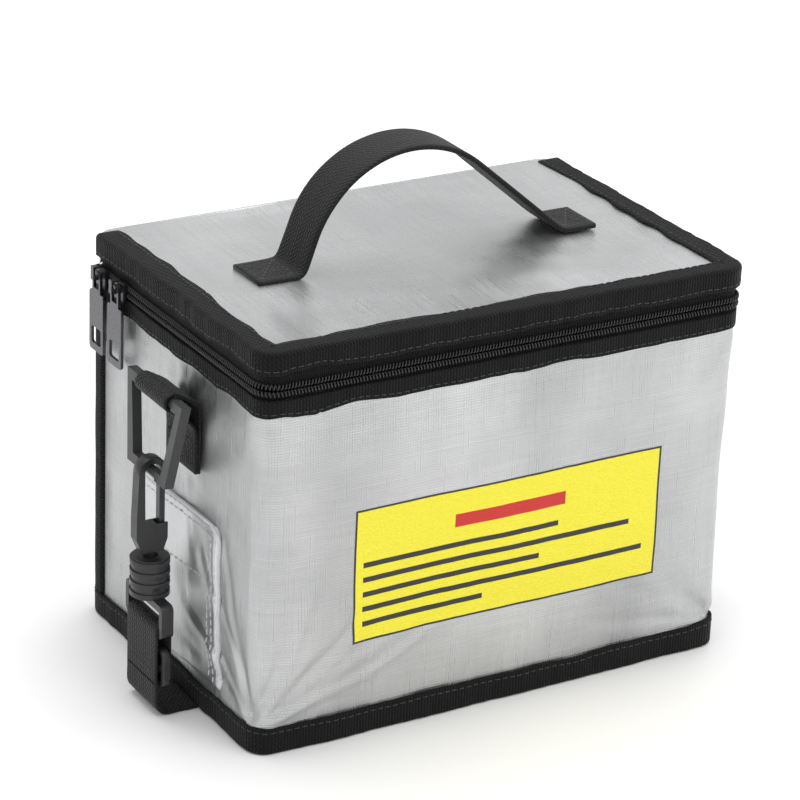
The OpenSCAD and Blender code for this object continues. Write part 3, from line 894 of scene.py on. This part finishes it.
def rim_and_zip_tapes():
    sweep("rim_tape", tape_profile(RIM_LO, RIM_HI, -0.4, 0.82, r=0.35), open_body,
          zfree=lambda d, z: np.where(z < RIM_LO + 3, 1.6, 0.4), nodes=["rim_band"],
          **RIM_DRIFT, **TAPE_ON_BAG)
    sweep("zip_tape_lower", tape_profile(SEAM - 4.9, SEAM - 0.9, -1.2, -0.55, r=0.2), open_body, wobble=0.04,
          seed=83, nodes=["lower_zip_tape"], **{**TAPE_ON_BAG, "mat": M_ZIPTAPE})
    # the upper tape runs on behind the lid binding, so that no gap shows at its wavy edge
    sweep("zip_tape_upper", tape_profile(SEAM + 0.9, SEAM + 8.2, -1.2, -0.45, r=0.2), open_body, wobble=0.04,
          seed=84, nodes=["upper_zip_tape"], **{**TAPE_ON_LID, "mat": M_ZIPTAPE})


def lid_binding():
    prof = [(-8.6, TOP - 0.95), (-8.9, TOP - 0.5), (-8.6, TOP - 0.12), (-5, TOP - 0.05), (-2.0, TOP - 0.05)]
    prof += arc_points(OUT - 2.0, TOP - 2.02, 2.0, (80, 60, 40, 20, 0))
    prof += [(OUT - 0.03, z) for z in (TOP - 4, TOP - 6)]
    prof += arc_points(OUT - 0.5, SEAM + 6.5, 0.45, (0, -35, -70, -90))
    prof += [(-0.95, SEAM + 6.1), (-0.95, TOP - 3.2), (-2.2, TOP - 1.25)]
    sweep("lid_edge_binding", prof[::-1], open_lid, inner=0.7, nodes=["lid_binding"],
          zfree=lambda d, z: np.where(z > TOP - 3, 0.3, 1.3), **LID_DRIFT, **TAPE_ON_LID)


def corner_tape(name, side, nodes, reach=12.4, step=1.4):
    """Vertical binding folded round a back corner, drawn at the left and mirrored for the right."""
    P, N, S = perimeter(SX, SY, CORNER, step=step)
    keep = [i for i in range(len(P)) if P[i, 0] < -SX + reach and P[i, 1] > SY - reach]
    P, N, S = P[keep], N[keep], S[keep]
    n = len(P)
    from_edge = np.minimum(np.arange(n), np.arange(n)[::-1]) * step
    d = 0.15 + (OUT - 0.25) * np.clip(from_edge / 0.9, 0, 1) ** 0.4
    z = np.concatenate([[BIND_HI - 0.6], np.linspace(BIND_HI, SEAM - 1, 60)])
    V = np.zeros((len(z), 2 * n, 3))
    V[..., :2] = np.concatenate([P + N * d[:, None], (P - N * 0.4)[::-1]])[None]
    bulge = 0.12 * on_line(waves(90 + side, 12, 30), z)
    V[:, :n, :2] += N[None] * bulge[:, None, None] * np.clip(from_edge / 1.5, 0, 1)[None, :, None]
    V[..., 2] = z[:, None]
    if side > 0:
        V[..., 0] *= -1
    UV = np.stack(np.meshgrid(z, np.concatenate([S, S[::-1], S[:1]]), indexing="ij"), -1)
    make(name, *grid(V, UV, wrap_v=True, caps=True, flip=side > 0), nodes=nodes, **TAPE_ON_BAG)


def coil(name, z0, z1, body, nodes, turn, pitch=1.35, wire=0.30):
    """Row of nylon coil: one wire wound along the edge of the tape, its hand given by turn."""
    P, N, S = perimeter(SX, SY, CORNER, step=1.0, y_end=U_END)
    per_turn, sides = 10, 5
    k = int(S[-1] / pitch) * per_turn
    s = np.linspace(0, S[-1], k)
    px, py, nx, ny = (np.interp(s, S, v) for v in (*P.T, *N.T))
    angle = np.arange(k) / per_turn * 2 * math.pi * turn
    d = 0.35 + (1.0 - wire) * np.cos(angle)
    z = (z0 + z1) / 2 + ((z1 - z0) / 2 - wire) * np.sin(angle)
    C = np.stack([px + nx * d, py + ny * d, z], 1)
    T = np.gradient(C, axis=0)
    T /= np.linalg.norm(T, axis=1)[:, None]
    a = np.cross(T, np.stack([ny, -nx, 0 * nx], 1))
    a /= np.linalg.norm(a, axis=1)[:, None]
    b = np.cross(T, a)
    ring = (np.arange(sides) * 2 * math.pi / sides)[None, :, None]
    V = C[:, None] + wire * (np.cos(ring) * a[:, None] + np.sin(ring) * b[:, None])
    UV = np.zeros((k, sides + 1, 2))
    UV[..., 0] = s[:, None]
    make(name, *grid(V, UV, wrap_v=True, caps=True), mat=M_COIL, body=body, slot="zip_coil", nodes=nodes)


def row_on_path(path, d, z, free, seed, wobble):
    """Line for a seam on a swept tape, wandering with it."""
    P, N, S = path
    outward, upward = drift(seed, wobble, S[:len(P)])
    points = np.column_stack([P + N * (d + outward)[:, None], z + upward * free])
    return points, np.column_stack([N, np.zeros(len(P))])


def binding_seams():
    closed = (first_again(full[0]), first_again(full[1]), full[2])
    rows = [row_on_path(closed, OUT + 0.02, BIND_HI - 2.0, 1.1, **BOTTOM_DRIFT),
            row_on_path(open_body, 0.84, RIM_LO + 1.6, 1.6, **RIM_DRIFT)]
    stitches("binding_seams_body", rows, r=0.2, mat=M_GREY, body="bag", slot="binding_tape")
    P, N, _ = open_lid
    top_row = (np.column_stack([P - N * 7.2, np.full(len(P), TOP)]), np.tile([0, 0, 1.0], (len(P), 1)))
    rows = [row_on_path(open_lid, OUT + 0.02, SEAM + 7.9, 1.3, **LID_DRIFT), top_row]
    stitches("binding_seams_lid", rows, r=0.2, mat=M_GREY, body="lid", slot="binding_tape")


bottom_binding()
rim_and_zip_tapes()
lid_binding()
corner_tape("back_corner_tape_left", -1, ["back_left_binding"])
corner_tape("back_corner_tape_right", 1, ["back_right_binding"])
coil("zip_coil_lower", SEAM - 2.7, SEAM - 0.12, "bag", ["lower_zip_coil"], -1)
coil("zip_coil_upper", SEAM + 0.12, SEAM + 2.7, "lid", ["upper_zip_coil"], 1)
binding_seams()

# ---- side pocket ----

(_, POCKET_Y0, POCKET_Z0), (_, POCKET_Y1, POCKET_Z1) = node_box("side_pocket")
POCKET_R = 6.0  # its round top front corner


def side_pocket():
    """Flat pocket lying on the left wall, its top edge folded in."""
    ys, shares = np.linspace(POCKET_Y0, POCKET_Y1, 64), np.linspace(0, 1, 70)
    G = np.zeros((len(ys), len(shares), 3))
    soft = waves(101, 20, 26)
    for i, y in enumerate(ys):
        into_corner = max(0.0, POCKET_Y0 + POCKET_R - y)
        top = POCKET_Z1 - POCKET_R + math.sqrt(max(0.0, POCKET_R ** 2 - into_corner ** 2))
        for j, t in enumerate(shares):
            z = POCKET_Z0 + (top - POCKET_Z0) * t
            rise = min(max(min(y - ys[0], ys[-1] - y, z - POCKET_Z0) / 1.6, 0), 1) ** 0.5
            lip = 1.0 if j < len(shares) - 1 else 0.25
            lift = 0.3 + 1.5 * rise * lip + 0.34 * rise * float(soft(np.array(y), np.array(z)))
            sewn = i in (0, len(ys) - 1) or j == 0
            G[i, j] = (on_wall(y, z) + (0.15 if sewn else -lift), y, z)
    UV = np.concatenate([G[..., 1:], G[:, -1:, 1:] + [0, 1.0]], 1)
    v, f, uv = grid(np.concatenate([G, G[:, -1:] + [0.9, 0, 0]], 1), UV)
    make("flat_side_pocket", v, f, uv, nodes=["side_pocket"], **SILVER_ON_BAG)
    return tree_of(v, f)


pocket_tree = side_pocket()


def pocket_row(points):
    """A row of points and normals on the pocket's cloth, through the (y, z) given."""
    row = []
    for a, b in zip(points[:-1], points[1:]):
        for t in np.linspace(0, 1, max(2, int(math.dist(a, b) / 1.5))):
            y, z = a[0] + (b[0] - a[0]) * t, a[1] + (b[1] - a[1]) * t
            hit = pocket_tree.ray_cast(Vector((-160, y, z)), Vector((1, 0, 0)))[0]
            row.append((hit.x if hit else -SX - 1, y, z))
    return row, [(-1, 0, 0)] * len(row)


def pocket_line(inset):
    """The pocket's outline from the top back round its rounded corner and down, set in by inset."""
    pts = [(POCKET_Y1 - 1.5, POCKET_Z1 - inset), (POCKET_Y0 + POCKET_R, POCKET_Z1 - inset)]
    pts += arc_points(POCKET_Y0 + POCKET_R, POCKET_Z1 - POCKET_R, POCKET_R - inset, (112, 135, 158, 180))
    return pts + [(POCKET_Y0 + inset, POCKET_Z0 + 1.5)]


def pocket_seams():
    y0, y1, z0 = POCKET_Y0, POCKET_Y1, POCKET_Z0
    back_row = [(y1 - 1.6, POCKET_Z1 - 5), (y1 - 1.6, z0 + 2)]
    inner_row = [(y1 - 3, 58), (y0 + 12, 58), (y0 + 8.6, 55.6), (y0 + 7.6, 52), (y0 + 7.6, z0 + 3)]
    rows = [pocket_row(line) for line in (pocket_line(1.3), pocket_line(4.2), back_row, inner_row)]
    stitches("pocket_topstitching", rows, length=2.6, gap=0.9, r=0.32, mat=M_WHITE, body="bag",
             slot="silver_skin")
    # folded hem round the free edges
    hem = smooth_path([(x - 0.1, y, z) for x, y, z in pocket_row(pocket_line(0.3))[0][::3]], 1.0)
    ribbon("pocket_hem", hem, (-1, 0, 0), 1.3, 1.5, seed=105, wobble=0.05, edge=0.5,
           mat=M_HEM, body="bag", slot="silver_skin")


pocket_seams()

# ---- ring tabs ----


def crossed_box(x0, x1, y0, y1):
    """The lines of a seam sewn as a box with a cross in it."""
    box = [(x0, y0), (x1, y0), (x1, y1), (x0, y1), (x0, y0)]
    return list(zip(box[:-1], box[1:])) + [((x0, y0), (x1, y1)), ((x1, y0), (x0, y1))]


def ring_tab(side, name, node):
    """Webbing sewn to the wall, up over the ring's upper bar and back beneath it."""
    wall = max(abs(on_wall(STRAP_Y, z, side)) for z in (102, 110, 118)) + 0.5
    tilt = math.degrees(math.atan2(-5.5, BAR_X - SX - 1.1))
    pts = [(wall + d, BAR_Z - drop) for d, drop in ((0.3, 31), (0.3, 20), (0.3, 8), (1.4, 2.6))]
    pts += arc_points(BAR_X, BAR_Z, 3.4, np.linspace(100, -100, 9) - tilt)
    back = ((5.4, 8.6), (2.2, 12.5), (1.5, 17), (1.5, 24), (1.5, 31))
    pts += [(wall + d, BAR_Z - drop) for d, drop in back]
    path = smooth_path([(side * x, STRAP_Y, z) for x, z in pts], 1.0)
    ribbon(name, path, (0, 1, 0), STRAP_W, 1.15, seed=110 + side, nodes=[node], **WEB_ON_BAG)
    x, h = side * (wall + 2.1), STRAP_W / 2 - 3
    rows = [([(x, STRAP_Y + y, z) for y, z in line], [(side, 0, 0)] * 2)
            for line in crossed_box(-h, h, BAR_Z - 29, BAR_Z - 18.5)]
    webbing_seams(name + "_seams", rows, "bag")


ring_tab(-1, "ring_tab_webbing_left", "left_ring_tab")
ring_tab(1, "ring_tab_webbing_right", "right_ring_tab")

# ---- handle ----


def handle():
    """One webbing: foot, steep left leg, round arch, long sloping right leg and foot."""
    lo, hi = node_box("handle_strap")
    end = node_box("handle_tabs")[1][0]
    arch = arc_points(-9.0, TOP, hi[2] - TOP - 1.1, np.linspace(160, 50, 28))
    (ax, az), (bx, bz) = arch[0], arch[-1]
    left = [(0.3 - end, 0.15), (-68, 0.15), (-61, 0.2), (-57.8, 0.7), (-56.0, 2.6)]
    right = [(58.4, 2.2), (60.8, 0.7), (63.6, 0.2), (69, 0.15), (end - 0.3, 0.15)]
    pts = [(x, TOP + z) for x, z in left] + [(ax - 0.342 * k, az - 0.940 * k) for k in (9.5, 5)] + arch
    pts += [(bx + 0.766 * k, bz - 0.643 * k) for k in (8, 16, 24, 32, 40, 46)]
    pts += [(x, TOP + z) for x, z in right]
    path = smooth_path([(x, 0, z) for x, z in pts], 1.3)
    band = ribbon("handle_webbing", path, (0, 1, 0), hi[1] - lo[1], 2.1, seed=121, wobble=0.1, edge=0.8,
                  mat=M_WEB, slot="webbing", nodes=["handle_strap", "handle_legs", "handle_tabs"])
    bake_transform(band)
    rows = []
    for outer, inner in ((2.2 - end, -60.0), (end - 2.2, 62.5)):
        for line in crossed_box(outer, inner, -8.6, 8.6):
            rows.append(([(x, y, TOP + 1.2) for x, y in line], [(0, 0, 1)] * 2))
    webbing_seams("handle_tab_seams", rows, "lid", length=2.2, r=0.24)


handle()

# ---- strap ----

BAR_R = 2.3  # inner radius of the webbing round its bar
END_X, END_R = HOOK_X + BAR_R + PLY, 6.0  # where the strap turns up from the floor
TAIL_Z = node_box("left_strap_tail")[0][2]
TAIL_TOP = node_box("left_strap_tail")[1][2] - 3.4
FOLD = 1.25  # spacing of the folded runs
hank_x = [HX + 1.9 + k * FOLD for k in range(4)]
hank_top = node_box("strap_hank")[1][2] - 1.2


def strap(name, pts, seed, step, body=None, nodes=(), wobble=0.12):
    path = smooth_path([(x, STRAP_Y, z) for x, z in pts], step)
    return ribbon(name, path, (0, 1, 0), STRAP_W, 1.08, seed=seed, wobble=wobble, mat=M_WEB, body=body,
                  slot="webbing", nodes=nodes)


def strap_run(side, name, node, pts, seed):
    """From the floor beside the bag up to the tail of one hook. It bends between the two."""
    rise = [(side * END_X, 10), (side * END_X, TAIL_Z + 0.6)]
    bend = np.linspace(270, 270 + 90 * side, 8)
    piece = strap(name, pts + arc_points(side * (END_X - END_R), END_R + PLY, END_R, bend) + rise, seed, 0.7,
                  nodes=[node])
    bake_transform(piece)


def main_run():
    """Under the bag, up the right wall, folded into four runs and down to the floor again."""
    turn = FOLD / 2
    x0, x1, x2, x3 = hank_x
    pts = [(-HX - 5.0, PLY)] + [(x, PLY) for x in (-80, -40, 0, 40, 80, x0 - 2.6)]
    pts += arc_points(x0 - 2.6, 2.6 + PLY, 2.6, np.linspace(270, 360, 5))[1:]
    pts += [(x0, 20), (x0 - 0.05, 50), (x0, hank_top - 3)]
    pts += arc_points(x0 + turn, hank_top, turn, np.linspace(180, 0, 5)) + [(x1, 60), (x1, 30), (x1, 8)]
    pts += arc_points(x1 + turn, 5, turn, np.linspace(180, 360, 5)) + [(x2, 30), (x2, 60), (x2, hank_top - 3)]
    pts += arc_points(x2 + turn, hank_top, turn, np.linspace(180, 0, 5)) + [(x3, 60), (x3, 30), (x3, 6)]
    pts += arc_points(x3 + 2.6, 2.6 + PLY, 2.6, np.linspace(180, 270, 5)) + [(x3 + 3.4, PLY)]
    strap("strap_main_run", pts, 132, 0.5, body="bag", nodes=["strap_under", "strap_hank"], wobble=0.06)


def strap_tail(side, name, body, node):
    """Webbing doubled round the bar of a swivel base, with two rows of stitches."""
    r = BAR_R + PLY
    rise = [(r, TAIL_Z + 8), (r, TAIL_TOP - 3)]
    pts = [(r, TAIL_Z)] + rise + arc_points(0, TAIL_TOP, r, np.linspace(0, 180, 9))
    pts += [(-x, z) for x, z in rise[::-1]] + [(-r, TAIL_Z + 0.2)]
    strap(name, [(side * (HOOK_X + x), z) for x, z in pts], 134 + side, 0.7, body=body, nodes=[node])
    x = side * (HOOK_X + BAR_R + 1.12)
    rows = [([(x, STRAP_Y + y, TAIL_Z + h) for y in (-9, 9)], [(side, 0, 0)] * 2) for h in (4.5, 7.5)]
    webbing_seams(name + "_seams", rows, body)


def strap_keeper():
    """Band round the folded runs."""
    lo, hi = node_box("strap_keeper")
    mid = (lo + hi) / 2
    half_x, half_y = (hi[0] - lo[0]) / 2 - 0.3, (hi[1] - lo[1]) / 2 - 0.35
    loop = [(mid[0] + x, mid[1] + y, mid[2]) for x, y in perimeter(half_x, half_y, 0.8, step=1.5)[0]]
    ribbon("strap_keeper_band", loop, (0, 0, 1), hi[2] - lo[2], 0.5, closed=True, seed=141,
           nodes=["strap_keeper"], **WEB_ON_BAG)


strap_run(-1, "strap_left_run", "strap_left_end",
          [(-HX - 4.9, PLY), (-END_X + END_R + 4, PLY)], 131)
main_run()
strap_run(1, "strap_right_run", "strap_right_end",
          [(hank_x[3] + 3.3, PLY), (END_X - END_R - 0.4, PLY)], 133)
strap_tail(-1, "strap_tail_left", "left_base", "left_strap_tail")
strap_tail(1, "strap_tail_right", "right_base", "right_strap_tail")
strap_keeper()

# ---- hardware: the CAD solids, with softened edges and moulded or plated finishes ----


def finish_node(name, mat, width):
    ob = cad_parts[name]
    ob.data.materials.clear()
    ob.data.materials.append(mat)
    ob.data.polygons.foreach_set("material_index", [0] * len(ob.data.polygons))
    ob.modifiers.new("Weld", "WELD").merge_threshold = 0.00001
    bev = ob.modifiers.new("Bevel", "BEVEL")
    bev.width, bev.segments = width * MM, 2
    bev.limit_method, bev.angle_limit = "ANGLE", math.radians(35)
    bev.harden_normals = True
    bev.use_clamp_overlap = True


for side in ("left", "right"):
    finish_node(f"{side}_ring", M_RING, 0.45)
    finish_node(f"{side}_hook", M_HOOK, 0.45)
    finish_node(f"{side}_gate", M_GATE, 0.3)
    finish_node(f"{side}_swivel_base", M_HOOK, 0.5)
finish_node("strap_adjuster", M_HOOK, 0.35)
for end in ("front", "rear"):
    finish_node(f"{end}_slider", M_METAL, 0.18)
    finish_node(f"{end}_pull", M_METAL, 0.22)
finish_node("zip_stops", M_METAL, 0.2)

# ---- floor, light and camera ----


def studio_floor(half=9, drop=0.0002):
    n = Nodes("floor", rough=0.9, spec=0.2)
    n.color(n.ramp(n.noise(n.coords("Object"), 6.0), [(0.3, 0.90), (0.7, 0.93)]))
    me = bpy.data.meshes.new("floor")
    corners = [(x, y, -drop) for x, y in ((-half, -half), (half, -half), (half, half), (-half, half))]
    me.from_pydata(corners, [], [(0, 1, 2, 3)])
    me.materials.append(n.m)
    floor = bpy.data.objects.new("floor", me)
    bpy.context.scene.collection.objects.link(floor)


def studio_world(strength):
    world = bpy.data.worlds.new("studio")
    bpy.context.scene.world = world
    world.use_nodes = True
    background = world.node_tree.nodes["Background"].inputs
    background["Color"].default_value = (1, 1, 1, 1)
    background["Strength"].default_value = strength


def place(data, where, turn):
    ob = bpy.data.objects.new(data.name, data)
    ob.location, ob.rotation_mode, ob.rotation_quaternion = where, "QUATERNION", turn
    bpy.context.scene.collection.objects.link(ob)
    return ob


def area(name, where, size, power, target=(0, 0, 0.08)):
    d = bpy.data.lights.new(name, "AREA")
    d.shape, d.size, d.size_y, d.energy = "RECTANGLE", size[0], size[1], power
    place(d, where, (Vector(target) - Vector(where)).to_track_quat("-Z", "Y"))


def camera(where, yaw, pitch, roll, lens):
    """Camera at a place in metres; in degrees, yaw from +Y, pitch down and roll about its axis."""
    yaw, pitch, roll = (math.radians(a) for a in (yaw, pitch, roll))
    cam = bpy.data.cameras.new("camera")
    cam.sensor_width, cam.lens = 36, lens
    cam.clip_start, cam.clip_end = 0.05, 30
    look = Vector((math.sin(yaw) * math.cos(pitch), math.cos(yaw) * math.cos(pitch), -math.sin(pitch)))
    turn = look.to_track_quat("-Z", "Y") @ Quaternion((0, 0, 1), roll)
    bpy.context.scene.camera = place(cam, where, turn)


studio_floor()
bpy.context.scene.view_settings.view_transform = "Standard"
studio_world(0.72)
area("key", (0.35, -0.9, 1.5), (1.2, 1.0), 9)
area("fill", (-1.5, -0.6, 0.8), (1.0, 1.2), 1.5)
area("top", (0.1, 0.4, 1.6), (1.4, 1.0), 15)
camera((-0.6442, -1.0514, 0.6363), 31.28, 23.53, 2.33, 152.4)
